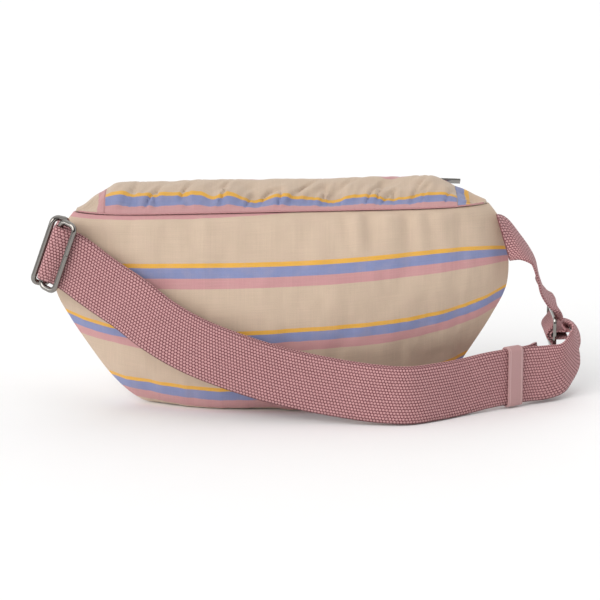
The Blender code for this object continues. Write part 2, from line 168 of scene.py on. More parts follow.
RUN = (
    ((-144.0, -7.0, 103.4, 0.0, -1.0), (0.36, 0.0, 0.93), 2.9),
    ((-135.5, -8.8, 98.4, 0.1, -0.99), (0.5, 0.0, 0.87), 2.6),
    ((-125.7, -11.8, 91.5, 0.2, -0.98), (0.56, 0.0, 0.83), 2.3),
    ((-113.0, -16.0, 83.4, 0.25, -0.97), (0.58, 0.0, 0.81), 2.1),
    ((-100.4, -21.0, 76.0, 0.25, -0.97), (0.62, 0.0, 0.78), 2.0),
    ((-80.5, -27.5, 62.0, 0.2, -0.98), (0.57, 0.0, 0.82), 2.0),
    ((-60.5, -31.5, 51.0, 0.15, -0.99), (0.5, 0.0, 0.87), 2.0),
    ((-40.6, -34.5, 43.0, 0.1, -1.0), (0.4, 0.0, 0.92), 2.0),
    ((-14.0, -37.0, 34.3, 0.05, -1.0), (0.3, 0.0, 0.95), 2.0),
    ((12.6, -39.0, 27.7, 0.05, -1.0), (0.2, 0.0, 0.98), 2.0),
    ((39.0, -42.0, 23.2, 0.1, -1.0), (0.12, 0.0, 0.99), 2.0),
    ((64.0, -46.0, 20.6, 0.05, -1.0), (0.05, 0.0, 1.0), 2.0),
    ((84.0, -46.0, 19.6, 0.2, -0.98), (0.0, 0.0, 1.0), 1.8),
    ((102.0, -37.0, 19.5, 0.5, -0.87), (0.0, 0.0, 1.0), 1.5),
    ((119.0, -25.0, 19.5, 0.55, -0.83), (0.0, 0.0, 1.0), 1.3),
    ((137.0, -13.5, 20.9, 0.53, -0.85), (0.0, 0.0, 1.0), 1.2),
    ((153.0, -3.5, 21.2, 0.53, -0.85), (0.0, 0.0, 1.0), 1.2),
    ((165.0, 4.0, 21.2, 0.53, -0.85), (0.0, 0.0, 1.0), 1.5),
)
KEEPER_AT = Vector((155.5, -1.9, 21.2))
KEEPER_ALONG = Vector((0.85, 0.53, 0.0)).normalized()
KEEPER_OUT = Vector((0.53, -0.85, 0.0)).normalized()


def smoothstep(t):
    t = min(1.0, max(0.0, t))
    return t * t * (3.0 - 2.0 * t)


def steps(start, end, count):
    return [start + (end - start) * i / count for i in range(count + 1)]


def spline(points, t):
    last = len(points) - 1
    i = min(int(t), last - 1)
    f = t - i
    p0, p1 = points[max(i - 1, 0)], points[i]
    p2, p3 = points[i + 1], points[min(i + 2, last)]
    return tuple(
        0.5 * (2 * b + (c - a) * f + (2 * a - 5 * b + 4 * c - d) * f * f + (3 * b - a - 3 * c + d) * f ** 3)
        for a, b, c, d in zip(p0, p1, p2, p3)
    )


def leaning(point):
    x, y, z = point
    return Vector((x, y, z * (1.0 + LEAN * x / RIM_HALF)))


def panel_point(front, u, v, inset, lowest_top=0.0):
    down = v * len(ROWS)
    z, half, side, back, fill_b, ahead, fill_f = spline(ROWS, min(down, len(ROWS) - 1.0))
    under = max(0.0, down - (len(ROWS) - 1))
    if down > len(ROWS) - 1.0001:
        z = 0.0
    z = max(z, 0.0)
    half -= 1.5 * inset
    depth = (ahead - side if front else side - back) - inset
    fill = fill_f if front else fill_b
    depth *= 1.0 - under
    part = GAP / 2 + max(0.0, depth - GAP / 2) * (1.0 - abs(u) ** fill)
    y = side + part if front else side - part
    z += inset * smoothstep(1.0 - z / 14.0)
    z = min(z, RIM_Z - GAP - lowest_top)
    return leaning((half * u, y, z))


def rim_back(x):
    return BACK_RIM_Y + (SIDE_RIM_Y - BACK_RIM_Y) * abs(x / RIM_HALF) ** 8


def rim_front(x):
    return FRONT_RIM_Y - (FRONT_RIM_Y - SIDE_RIM_Y) * abs(x / RIM_HALF) ** 10


def strip_edge(x):
    return min(STRIP_EDGE_Y, rim_front(x) - 4.0)


SECTION = np.array([spline(TOP_SECTION, i / 40) for i in range(40 * (len(TOP_SECTION) - 1) + 1)])


def section_rise(share):
    return max(0.0, float(np.interp(share, SECTION[:, 0], SECTION[:, 1])))


def top_height(x, y, depth):
    share = (y - rim_back(x)) / (rim_front(x) - rim_back(x))
    crown = CROWN * smoothstep((RIM_HALF - abs(x)) / 31.0)
    return RIM_Z + CLOTH - depth + crown * section_rise(share)


def top_point(x, y, depth):
    return leaning((x, y, top_height(x, y, depth)))


# ---------------------------------------------------------------- mesh helpers

def world(point):
    return (Vector(point) + SHIFT) * MM


def link(name, mesh, finish, body, nodes=(), smooth=True):
    """A piece in the scene with its finish; it rides on a body and stands for these CAD nodes."""
    for polygon in mesh.polygons:
        polygon.use_smooth = smooth
    obj = bpy.data.objects.new(name, mesh)
    bpy.context.scene.collection.objects.link(obj)
    for material in finish if isinstance(finish, (list, tuple)) else (finish,):
        mesh.materials.append(material)
    if body:
        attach(obj, body)
    if nodes:
        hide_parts(*nodes)
    return obj


def sheet_mesh(name, points, flats):
    """Grid of points (rows of Vectors in millimetres) with cloth coordinates (mm) as its UV map."""
    rows, columns = len(points), len(points[0])
    mesh = bpy.data.meshes.new(name)
    verts = [tuple(world(p)) for row in points for p in row]
    faces = [
        (j * columns + i, j * columns + i + 1, (j + 1) * columns + i + 1, (j + 1) * columns + i)
        for j in range(rows - 1) for i in range(columns - 1)
    ]
    mesh.from_pydata(verts, [], faces)
    flat = [f for row in flats for f in row]
    layer = mesh.uv_layers.new(name="cloth")
    for loop in mesh.loops:
        layer.data[loop.index].uv = flat[loop.vertex_index]
    return mesh


def outward(points):
    """Unit normals of a grid of points."""
    grid = np.array([[tuple(p) for p in row] for row in points])
    across = np.gradient(grid, axis=1)
    down = np.gradient(grid, axis=0)
    normal = np.cross(across, down)
    length = np.linalg.norm(normal, axis=2, keepdims=True)
    return normal / np.maximum(length, 1e-9)


def thicken(obj, thickness, offset=-1.0, inner=0, rim=0):
    solid = obj.modifiers.new("Thickness", "SOLIDIFY")
    solid.thickness = thickness * MM
    solid.offset = offset
    solid.use_even_offset = False
    solid.material_offset = inner
    solid.material_offset_rim = rim
    return solid


def tube_mesh(name, line, radius, closed=True, sides=16, caps=True):
    """Round wire along a line in millimetres."""
    count = len(line)
    bm = bmesh.new()
    side = None
    loops = []
    for i, point in enumerate(line):
        before = line[i - 1] if closed or i else line[i]
        after = line[(i + 1) % count] if closed or i < count - 1 else line[i]
        along = (Vector(after) - Vector(before)).normalized()
        if side is None:
            side = along.orthogonal().normalized()
        side = (side - side.dot(along) * along).normalized()
        other = along.cross(side)
        loops.append([
            bm.verts.new(world(Vector(point) + (side * math.cos(a) + other * math.sin(a)) * radius))
            for a in (2 * math.pi * k / sides for k in range(sides))
        ])
    for i in range(count if closed else count - 1):
        first, second = loops[i], loops[(i + 1) % count]
        if closed and i == count - 1:
            shift = min(range(sides), key=lambda s: (first[0].co - second[s].co).length)
            second = second[shift:] + second[:shift]
        for k in range(sides):
            m = (k + 1) % sides
            bm.faces.new((first[k], first[m], second[m], second[k]))
    if not closed and caps:
        bm.faces.new(loops[0][::-1])
        bm.faces.new(loops[-1])
    bmesh.ops.recalc_face_normals(bm, faces=bm.faces)
    mesh = bpy.data.meshes.new(name)
    bm.to_mesh(mesh)
    bm.free()
    return mesh


def apply_modifiers(obj):
    graph = bpy.context.evaluated_depsgraph_get()
    mesh = bpy.data.meshes.new_from_object(obj.evaluated_get(graph))
    obj.modifiers.clear()
    old = obj.data
    obj.data = mesh
    bpy.data.meshes.remove(old)


# ---------------------------------------------------------------- materials

class Nodes:
    """Short calls for building a node tree."""

    def __init__(self, name, roughness, metallic=0.0):
        self.material = bpy.data.materials.new(name)
        self.material.use_nodes = True
        self.tree = self.material.node_tree
        self.shader = self.tree.nodes["Principled BSDF"]
        self.shader.inputs["Roughness"].default_value = roughness
        self.shader.inputs["Metallic"].default_value = metallic

    def put(self, socket, value):
        if isinstance(value, bpy.types.NodeSocket):
            self.tree.links.new(value, socket)
        elif isinstance(value, tuple) and len(value) == 3 and socket.type == "RGBA":
            socket.default_value = (*value, 1.0)
        else:
            socket.default_value = value

    def math(self, operation, a, b=0.0, c=0.0):
        node = self.tree.nodes.new("ShaderNodeMath")
        node.operation = operation
        for socket, value in zip(node.inputs, (a, b, c)):
            self.put(socket, value)
        return node.outputs[0]

    def range(self, value, low, high, to_low=0.0, to_high=1.0):
        node = self.tree.nodes.new("ShaderNodeMapRange")
        node.interpolation_type = "SMOOTHSTEP"
        names = ("Value", "From Min", "From Max", "To Min", "To Max")
        for name, number in zip(names, (value, low, high, to_low, to_high)):
            self.put(node.inputs[name], number)
        return node.outputs["Result"]

    def cloth(self):
        node = self.tree.nodes.new("ShaderNodeUVMap")
        node.uv_map = "cloth"
        parts = self.tree.nodes.new("ShaderNodeSeparateXYZ")
        self.tree.links.new(node.outputs[0], parts.inputs[0])
        return node.outputs[0], parts.outputs[0], parts.outputs[1]

    def place(self):
        return self.tree.nodes.new("ShaderNodeTexCoord").outputs["Object"]

    def noise(self, vector, scale, detail=3.0, stretch=None, roughness=0.55):
        if stretch:
            node = self.tree.nodes.new("ShaderNodeVectorMath")
            node.operation = "MULTIPLY"
            self.tree.links.new(vector, node.inputs[0])
            node.inputs[1].default_value = stretch
            vector = node.outputs[0]
        node = self.tree.nodes.new("ShaderNodeTexNoise")
        node.inputs["Scale"].default_value = scale
        node.inputs["Detail"].default_value = detail
        node.inputs["Roughness"].default_value = roughness
        self.tree.links.new(vector, node.inputs["Vector"])
        return node.outputs["Fac"]

    def mix(self, factor, a, b, how="MIX"):
        node = self.tree.nodes.new("ShaderNodeMix")
        node.data_type = "RGBA"
        node.blend_type = how
        self.put(node.inputs[0], factor)
        self.put(node.inputs[6], a)
        self.put(node.inputs[7], b)
        return node.outputs[2]

    def shade(self, colour, factor):
        """Colour times a number."""
        node = self.tree.nodes.new("ShaderNodeVectorMath")
        node.operation = "SCALE"
        self.put(node.inputs[0], colour)
        self.put(node.inputs["Scale"], factor)
        return node.outputs[0]

    def colour(self, value):
        self.put(self.shader.inputs["Base Color"], value)

    def bump(self, *layers):
        """Layers of (height socket, strength, distance in mm)."""
        last = None
        for height, strength, distance in layers:
            node = self.tree.nodes.new("ShaderNodeBump")
            node.inputs["Strength"].default_value = strength
            node.inputs["Distance"].default_value = distance * MM
            self.tree.links.new(height, node.inputs["Height"])
            if last:
                self.tree.links.new(last, node.inputs["Normal"])
            last = node.outputs[0]
        self.tree.links.new(last, self.shader.inputs["Normal"])

    def weave(self, s, t, pitch):
        """Height of a plain weave with threads this many millimetres apart."""
        a = self.math("SINE", self.math("MULTIPLY", s, math.pi / pitch))
        b = self.math("SINE", self.math("MULTIPLY", t, math.pi / pitch))
        return self.math("MULTIPLY_ADD", self.math("MULTIPLY", a, b), 0.5, 0.5)

    def sheen(self, weight, roughness=0.5, tint=(1.0, 1.0, 1.0)):
        self.shader.inputs["Sheen Weight"].default_value = weight
        self.shader.inputs["Sheen Roughness"].default_value = roughness
        self.shader.inputs["Sheen Tint"].default_value = (*tint, 1.0)


STRIPE_PITCH = 45.0
BEIGE = (0.535, 0.413, 0.310)
YELLOW = (0.70, 0.375, 0.055)
BLUE = (0.208, 0.240, 0.425)
PINK = (0.520, 0.266, 0.272)
WARM = (0.56, 0.39, 0.33)       # faint uneven warmth in the cotton


def cotton_material(name, striped=True, base=BEIGE, painted_shade_scale=1.0):
    made = Nodes(name, 0.88)
    where, s, t = made.cloth()
    fuzz = made.noise(where, 3.2, 2.0)
    edge = made.math("MULTIPLY_ADD", fuzz, 0.5, t)
    shifted = made.math("ADD", edge, 4.75 + STRIPE_PITCH * 8)
    turn = made.math("FRACT", made.math("DIVIDE", shifted, STRIPE_PITCH))
    colour = base
    if striped:
        ramp = made.tree.nodes.new("ShaderNodeValToRGB")
        ramp.color_ramp.interpolation = "CONSTANT"
        stops = ((0.0, base), (0.0780, YELLOW), (0.1420, BLUE), (0.2933, PINK), (0.4490, base))
        elements = ramp.color_ramp.elements
        while len(elements) < len(stops):
            elements.new(0.5)
        for element, (at, paint) in zip(elements, stops):
            element.position = at
            element.color = (*paint, 1.0)
        made.tree.links.new(turn, ramp.inputs[0])
        colour = ramp.outputs[0]
    across = made.noise(where, 1.0, 2.0, (0.035, 2.6, 1.0))
    along = made.noise(where, 1.0, 2.0, (2.6, 0.035, 1.0))
    cloud = made.noise(where, 0.035, 3.0)
    speck = made.noise(where, 1.6, 3.0, None, 0.7)
    blush = made.range(made.noise(where, 0.10, 3.0), 0.42, 0.68, 0.0, 0.2)
    colour = made.mix(blush, colour, made.mix(0.5, colour, WARM))
    tone = made.math("MULTIPLY_ADD", across, 0.24, 0.672)
    tone = made.math("MULTIPLY_ADD", along, 0.20, tone)
    tone = made.math("MULTIPLY_ADD", cloud, 0.12, tone)
    tone = made.math("MULTIPLY_ADD", speck, 0.22, tone)
    weave = made.weave(s, t, 0.55)
    tone = made.math("MULTIPLY_ADD", weave, 0.05, tone)
    # A scale below 1 darkens the whole cloth, as painted shade for a shaded copy of the cotton.
    made.colour(made.shade(colour, made.math("MULTIPLY", tone, painted_shade_scale)))
    made.bump((weave, 0.30, 0.12), (across, 0.25, 0.10), (along, 0.25, 0.10), (speck, 0.3, 0.12))
    made.sheen(0.18, 0.6, (1.0, 0.96, 0.9))
    return made.material


# Yarn colour on the float tops, and a darker colour painted into the gaps between floats as painted shade.
WEB_LIGHT = (0.60, 0.315, 0.322)
WEB_GAP_SHADE = (0.175, 0.045, 0.052)


def webbing_material(name, light=WEB_LIGHT, dark=WEB_GAP_SHADE):
    """Staggered oval floats 2 mm apart, with painted shade darkening the gaps between them."""
    made = Nodes(name, 0.82)
    where, s, t = made.cloth()
    wobble = made.noise(where, 0.9, 2.0)
    a = made.math("DIVIDE", made.math("MULTIPLY_ADD", wobble, 0.35, s), 1.95)
    b = made.math("DIVIDE", made.math("MULTIPLY_ADD", wobble, 0.45, t), 2.1)
    b = made.math("MULTIPLY_ADD", made.math("FLOOR", a), 0.38, b)
    fa = made.math("SUBTRACT", made.math("FRACT", a), 0.5)
    fb = made.math("SUBTRACT", made.math("FRACT", b), 0.5)
    fa = made.math("POWER", made.math("ABSOLUTE", made.math("MULTIPLY", fa, 1.9)), 2.2)
    fb = made.math("POWER", made.math("ABSOLUTE", made.math("MULTIPLY", fb, 2.0)), 2.6)
    dome = made.math("SUBTRACT", 1.0, made.math("ADD", fa, fb))
    dome = made.math("MAXIMUM", dome, 0.0)
    top = made.range(dome, 0.0, 0.75)
    fibre = made.noise(where, 3.4, 3.0, (1.0, 0.35, 1.0))
    cloud = made.noise(where, 0.09, 2.0)
    # Colour goes from the gap colour low between the floats to the yarn colour on their tops: painted shade
    # in the gaps.
    colour = made.mix(top, dark, light)
    tone = made.math("MULTIPLY_ADD", fibre, 0.34, 0.78)
    tone = made.math("MULTIPLY_ADD", cloud, 0.10, tone)
    made.colour(made.shade(colour, tone))
    made.bump((top, 0.85, 0.55), (fibre, 0.35, 0.12))
    made.sheen(0.12, 0.5, (1.0, 0.85, 0.85))
    return made.material


def keeper_material():
    made = Nodes("keeper_twill", 0.7)
    where, s, t = made.cloth()
    twill = made.math("SINE", made.math("MULTIPLY", made.math("ADD", s, t), 2 * math.pi / 0.85))
    rib = made.math("MULTIPLY_ADD", twill, 0.5, 0.5)
    edge = made.math("ABSOLUTE", s)
    line = made.math("COMPARE", edge, 4.55, 0.30)
    fibre = made.noise(where, 2.4, 2.0)
    colour = made.mix(made.math("MULTIPLY", line, 0.75), (0.50, 0.292, 0.29), (0.66, 0.44, 0.43))
    tone = made.math("MULTIPLY_ADD", fibre, 0.16, 0.86)
    tone = made.math("MULTIPLY_ADD", rib, 0.07, tone)
    made.colour(made.shade(colour, tone))
    made.bump((rib, 0.35, 0.14), (line, 0.5, 0.18), (fibre, 0.3, 0.1))
    made.sheen(0.2, 0.4, (1.0, 0.9, 0.9))
    return made.material


def metal_material(name, colour, roughness):
    made = Nodes(name, roughness, 1.0)
    where = made.place()
    haze = made.noise(where, 260.0, 3.0)
    brush = made.noise(where, 900.0, 2.0)
    made.put(made.shader.inputs["Roughness"], made.math("MULTIPLY_ADD", haze, 0.06, roughness - 0.03))
    made.colour(made.shade(colour, made.math("MULTIPLY_ADD", haze, 0.12, 0.93)))
    made.bump((brush, 0.03, 0.01), (haze, 0.03, 0.02))
    return made.material


def tape_material(name, colour):
    made = Nodes(name, 0.85)
    where, s, t = made.cloth()
    chevron = made.math("PINGPONG", t, 1.1)
    rib = made.math("SINE", made.math("MULTIPLY", made.math("ADD", s, chevron), 2 * math.pi / 1.1))
    rib = made.math("MULTIPLY_ADD", rib, 0.5, 0.5)
    fibre = made.noise(where, 2.0, 3.0)
    tone = made.math("MULTIPLY_ADD", fibre, 0.12, 0.84)
    made.colour(made.shade(colour, made.math("MULTIPLY_ADD", rib, 0.1, tone)))
    made.bump((rib, 0.4, 0.12), (fibre, 0.25, 0.1))
    return made.material


def plastic_material(name, colour):
    made = Nodes(name, 0.42)
    grain = made.noise(made.place(), 1400.0, 2.0)
    made.colour(made.shade(colour, made.math("MULTIPLY_ADD", grain, 0.14, 0.92)))
    made.bump((grain, 0.15, 0.03))
    return made.material


def thread_material(name, colour):
    made = Nodes(name, 0.7)
    twist = made.noise(made.place(), 2600.0, 2.0)
    made.colour(made.shade(colour, made.math("MULTIPLY_ADD", twist, 0.3, 0.84)))
    made.bump((twist, 0.5, 0.08))
    return made.material


def floor_material():
    made = Nodes("floor", 0.75)
    grain = made.noise(made.place(), 30.0, 3.0)
    made.colour(made.shade((0.94, 0.94, 0.94), made.math("MULTIPLY_ADD", grain, 0.01, 0.99)))
    return made.material


COTTON = cotton_material("striped_cotton_cloth")
# Darker copy of the striped cotton for the top and end tabs: painted shade where the light leaves the top
# darker.
TOP_COTTON_PAINTED_SHADE = cotton_material("striped_cotton_top_painted_shade", painted_shade_scale=0.88)
LINING = cotton_material("lining_cloth", False, (0.62, 0.54, 0.42))
WEBBING = webbing_material("pink_webbing")
TWILL = keeper_material()
NICKEL = metal_material("nickel", (0.262, 0.247, 0.230), 0.075)
TAPE = tape_material("zip_tape_cloth", (0.58, 0.50, 0.41))
COIL = plastic_material("coil_nylon", (0.60, 0.52, 0.42))
PINK_SEAM = thread_material("seam_cloth", (0.50, 0.25, 0.255))
BEIGE_SEAM = thread_material("seam_beige", (0.42, 0.33, 0.26))

# ---------------------------------------------------------------- cloth of the pouch

# Height of the yellow line of each of the three stripe sets, over the length of the pouch
SET_X = (-152.0, -140.0, -112.0, -87.0, -50.0, 12.0, 60.0, 84.0, 105.0, 135.0, 152.0)
SET_1 = (97.0, 98.2, 100.0, 100.8, 101.6, 102.6, 104.4, 105.6, 106.6, 106.4, 103.5)
SET_2 = (68.0, 63.6, 57.0, 55.4, 55.4, 58.1, 61.0, 63.0, 65.6, 72.0, 80.0)
SET_3 = (27.0, 24.5, 20.8, 18.8, 16.6, 17.4, 20.6, 23.2, 28.0, 38.0, 46.0)
PINK_EDGE = 27.9        # from a set's yellow line up to the pink edge of the next set


def smooth_line(values):
    fit = np.polynomial.polynomial.Polynomial.fit(SET_X, values, 5)
    return lambda x: float(fit(min(152.0, max(-152.0, x))))


LINE_1, LINE_2, LINE_3 = smooth_line(SET_1), smooth_line(SET_2), smooth_line(SET_3)


def stripe_at(x, z, under):
    """Cloth millimetres down from the top set's yellow line."""
    z = z / (1.0 + LEAN * x / RIM_HALF) - under
    a, b, c = LINE_1(x), LINE_2(x), LINE_3(x)
    if z > a:
        strip = 5.0 - 4.0 * smoothstep((x + 60.0) / 110.0) + 1.0 * smoothstep((x - 100.0) / 30.0)
        return (a - z) * (PINK_EDGE + strip) / (RIM_Z - a)
    if z > b:
        return (a - z) * STRIPE_PITCH / (a - b)
    if z > c:
        return STRIPE_PITCH + (b - z) * STRIPE_PITCH / (b - c)
    return 2 * STRIPE_PITCH + (c - z)


def hump(x, at, width):
    return math.exp(-((x - at) / width) ** 2)


def ruck(point, size, seed):
    """Smooth creasing from about -1 to 1."""
    place_at = Vector((point[0] / size + seed, point[1] / size, point[2] / size))
    return noise.noise(place_at) + 0.5 * noise.noise(place_at * 2.1) + 0.25 * noise.noise(place_at * 4.3)


# Place along the rim, half width, and depth (below 0 is inward)
PUCKERS = (
    (42.6, 4.5, -1.0), (59.0, 5.5, -1.3), (82.5, 5.0, -1.2), (99.0, 5.0, -1.2), (118.0, 6.0, -0.9),
    (-60.0, 9.0, -0.7), (-15.0, 8.0, -0.5), (-98.0, 7.0, -0.8), (71.0, 4.5, 0.9), (91.0, 4.0, 0.8),
    (50.5, 4.0, 0.8), (20.0, 9.0, -0.5),
)
PUCKER_DEPTH = 1.6
PUCKER_WIDTH = 0.8


def back_relief(front, x, z, u, v):
    """Millimetres the panel stands out from its drawn shape."""
    edge = smoothstep((1.0 - abs(u)) / 0.10) * smoothstep(v / 0.06) * smoothstep((0.93 - v) / 0.1)
    rest = 1.5 * ruck((x * 1.2, 0.0, z * 0.7), 40.0, 3.0 if front else 0.0)
    rest += 0.75 * ruck((x * 1.5, 0.0, z * 0.7), 17.0, 9.0)
    near_rim = smoothstep((z - 96.0) / 34.0)
    puckers = 0.0
    for at, width, size in PUCKERS:
        lean = at + (130.0 - z) * 0.12 * (1 if at > 0 else -0.6)
        puckers += PUCKER_DEPTH * size * hump(x, lean, PUCKER_WIDTH * width)
    side = smoothstep((abs(u) - 0.70) / 0.25)
    drift = 1.6 * noise.noise(Vector((x / 30.0, z / 18.0, 2.0)))
    gather = 0.9 * side * math.sin(z / 7.5 + drift) * (1.0 - abs(u)) / 0.12
    gather = max(-0.8, min(1.0, gather))
    return edge * (rest + puckers * near_rim + 0.5 * gather + 0.4)


def panel_cloth(name, front, nodes):
    columns = [math.sin(math.pi / 2 * u) for u in steps(-1.0, 1.0, 168)]
    rows = steps(0.0, 1.0, 96)
    points = [[panel_point(front, u, v, 0.0) for u in columns] for v in rows]
    normals = outward(points)
    if not front:
        normals = -normals
    flats = []
    for j, v in enumerate(rows):
        line = []
        for i, u in enumerate(columns):
            p = points[j][i]
            under = max(0.0, v * len(ROWS) - (len(ROWS) - 1)) * 20.0
            line.append((p.x, stripe_at(p.x, p.z, under)))
            amount = back_relief(front, p.x, p.z, u, v)
            points[j][i] = p + Vector(normals[j][i]) * amount
            points[j][i].z = max(points[j][i].z, 0.0)
        flats.append(line)
    mesh = sheet_mesh(name, points, flats)
    if not front:
        mesh.flip_normals()
    obj = link(name, mesh, (COTTON, LINING), "pouch", nodes)
    thicken(obj, CLOTH)
    return obj


def lining_cloth(name, front, inset, nodes):
    columns = [math.sin(math.pi / 2 * u) for u in steps(-1.0, 1.0, 64)]
    drop = 5.0
    rows = [drop / 120.0 + (1.0 - drop / 120.0) * v for v in steps(0.0, 1.0, 40)]
    points = [[panel_point(front, u, v, inset, drop) for u in columns] for v in rows]
    normals = outward(points)
    if not front:
        normals = -normals
    flats = [[(p.x, p.z) for p in row] for row in points]
    for j, v in enumerate(rows):
        for i, u in enumerate(columns):
            p = points[j][i]
            edge = smoothstep((1.0 - abs(u)) / 0.1)
            edge = edge * smoothstep((v - 0.04) / 0.1) * smoothstep((0.9 - v) / 0.1)
            inward = 0.4 + 0.8 * abs(ruck((p.x, p.y, p.z), 30.0, 5.0))
            inward = inward * edge + max(0.0, -back_relief(front, p.x, p.z, u, v))
            points[j][i] = p - Vector(normals[j][i]) * inward
    mesh = sheet_mesh(name, points, flats)
    if not front:
        mesh.flip_normals()
    obj = link(name, mesh, LINING, "pouch", nodes)
    thicken(obj, 0.6)
    return obj


# How far the first stripe of the top is drawn down by its folds, along the top
LID_FOLDS = (
    (-125.0, 0.0), (-96.0, 0.3), (-66.0, 1.1), (-54.0, 0.4), (-44.0, -3.3), (-35.0, -1.2), (-18.5, -6.4),
    (-1.0, -2.0), (17.0, -4.3), (34.0, -7.3), (51.0, -3.3), (62.0, -4.6), (70.5, -10.0), (82.0, -8.2),
    (92.0, -4.0), (110.0, -1.7), (125.0, -2.5),
)


def lid_wave(x):
    """How far the stripes of the top wander, in cloth millimetres."""
    for (xa, a), (xb, b) in zip(LID_FOLDS, LID_FOLDS[1:]):
        if x <= xb:
            return a + (b - a) * smoothstep((x - xa) / (xb - xa))
    return LID_FOLDS[-1][1]


def top_relief(x, y, share):
    """Crumpling of the top cloth, in millimetres."""
    edge = smoothstep(share / 0.12) * smoothstep((0.985 - share) / 0.06)
    ends = smoothstep((RIM_HALF - abs(x)) / 16.0)
    lean_x = x - 34.0 * share
    low = 1.0 - 0.75 * smoothstep((share - 0.26) / 0.2)
    folds = 1.9 * low * ruck((lean_x * 1.6, y * 0.5, 0.0), 19.0, 4.0)
    crease = abs(ruck((lean_x * 1.2, y * 0.4, 1.0), 26.0, 7.0))
    folds -= 2.6 * low * max(0.0, 1.0 - crease / 0.16)
    folds += 0.30 * low * lid_wave(x)
    soft = 0.8 * ruck((x * 0.6, y, 3.0), 44.0, 1.0)
    seam = math.exp(-((share - 0.14) / 0.1) ** 2) * 1.3 * math.sin(x / 8.6 + 1.1 * math.sin(x / 21.0))
    across_tab = 1.0 - 0.9 * hump(abs(x), TAB_X, 4.0)
    return (folds + soft + seam + 0.9) * edge * ends * across_tab


def sag(x, share):
    """How far the top sinks towards its right end, where nothing holds it up."""
    low = 0.5 * smoothstep((x - 96.0) / 27.0) * smoothstep((RIM_HALF - x) / 12.0)
    return low * CROWN * section_rise(share) * smoothstep((0.84 - share) / 0.3)


def top_grid(xs, y_from, y_to, count, depth=0.0, relief=True):
    points, flats = [], []
    for j in range(count + 1):
        v = j / count
        row, line = [], []
        for x in xs:
            start = max(y_from(x), rim_back(x) + depth)
            end = min(y_to(x), rim_front(x) - depth)
            y = start + (end - start) * v
            p = top_point(x, y, depth)
            row.append(p)
            line.append((x, y))
        points.append(row)
        flats.append(line)
    if relief:
        normals = outward(points)
        for j, row in enumerate(points):
            for i, x in enumerate(xs):
                y = flats[j][i][1]
                share = (y - rim_back(x)) / max(1.0, rim_front(x) - rim_back(x))
                row[i] = row[i] + Vector(normals[j][i]) * top_relief(x, y, share)
                row[i].z -= sag(x, share)
    return points, flats


def arc_down(points, start):
    """Distance down each column from its first point."""
    grid = np.array([[tuple(p) for p in row] for row in points])
    run = np.linalg.norm(np.diff(grid, axis=0), axis=2)
    return start + np.vstack([np.zeros(grid.shape[1]), np.cumsum(run, axis=0)])


def fold_share(arc):
    """The folds leave the seam alone and grow towards the crest."""
    return min(1.0, arc / 13.0) + 0.3 * smoothstep((arc - 13.0) / 16.0)


def lid_cloth():
    """The lid in two halves, each from the middle out to its end tab."""
    for side, name in ((-1, "lid_left"), (1, "lid_right")):
        xs = steps(0.0, side * TAB_X, 78)
        if side < 0:
            xs = xs[::-1]
        points, _ = top_grid(xs, rim_back, lambda x: LID_EDGE_Y, 44)
        smooth, _ = top_grid(xs, rim_back, lambda x: LID_EDGE_Y, 44, 0.0, False)
        arcs = arc_down(smooth, 0.0)
        flats = [
            [(x, 14.3 - arcs[j][i] + lid_wave(x) * fold_share(arcs[j][i])) for i, x in enumerate(xs)]
            for j in range(len(points))
        ]
        mesh = sheet_mesh(name, points, flats)
        obj = link(name, mesh, (TOP_COTTON_PAINTED_SHADE, LINING), None)
        thicken(obj, CLOTH + GAP + 0.6, -1.0, 1, 0)
        apply_modifiers(obj)
        obj.data.set_sharp_from_angle(angle=math.radians(55))
        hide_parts("top_gusset", "gusset_lining")
        bend_lid(obj)


def bend_lid(obj):
    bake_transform(obj)


def front_strip():
    xs = steps(-TAB_X, TAB_X, 150)
    points, _ = top_grid(xs, strip_edge, rim_front, 14)
    smooth, _ = top_grid(xs, strip_edge, rim_front, 14, 0.0, False)
    arcs = arc_down(smooth, 0.0)
    flats = [[(x, -34.0 - arcs[j][i]) for i, x in enumerate(xs)] for j in range(len(points))]
    mesh = sheet_mesh("front_strip", points, flats)
    obj = link("front_strip", mesh, (COTTON, LINING), "pouch", ("front_gusset",))
    thicken(obj, CLOTH)


def end_tabs():
    for side, name in ((-1, "end_tab_left"), (1, "end_tab_right")):
        xs = steps(side * (TAB_X + 0.5), side * (RIM_HALF - 2.0), 20)
        if side < 0:
            xs = xs[::-1]
        points, _ = top_grid(xs, rim_back, rim_front, 60)
        if side < 0:
            flats = [[(p.y, 9.9 + abs(x) - TAB_X) for p, x in zip(row, xs)] for row in points]
        else:
            flats = [[(p.y, 7.6 - (abs(x) - TAB_X)) for p, x in zip(row, xs)] for row in points]
        mesh = sheet_mesh(name + "_cloth", points, flats)
        obj = link(name + "_cloth", mesh, (TOP_COTTON_PAINTED_SHADE, LINING), "pouch", (name,))
        thicken(obj, CLOTH)


def tab_seams():
    """Rolled seams between the lid and the end tabs."""
    for side, name in ((-1, "tab_seam_left"), (1, "tab_seam_right")):
        x = side * (TAB_X + 0.25)
        line = []
        for y in steps(rim_back(x) + 1.0, LID_EDGE_Y - 1.0, 80):
            share = (y - rim_back(x)) / (rim_front(x) - rim_back(x))
            p = top_point(x, y, 0.75)
            p.z += top_relief(x, y, share) - sag(x, share)
            line.append(p)
        mesh = tube_mesh(name, line, 0.5, False, 10)
        obj = link(name, mesh, BEIGE_SEAM if side > 0 else PINK_SEAM, "pouch")


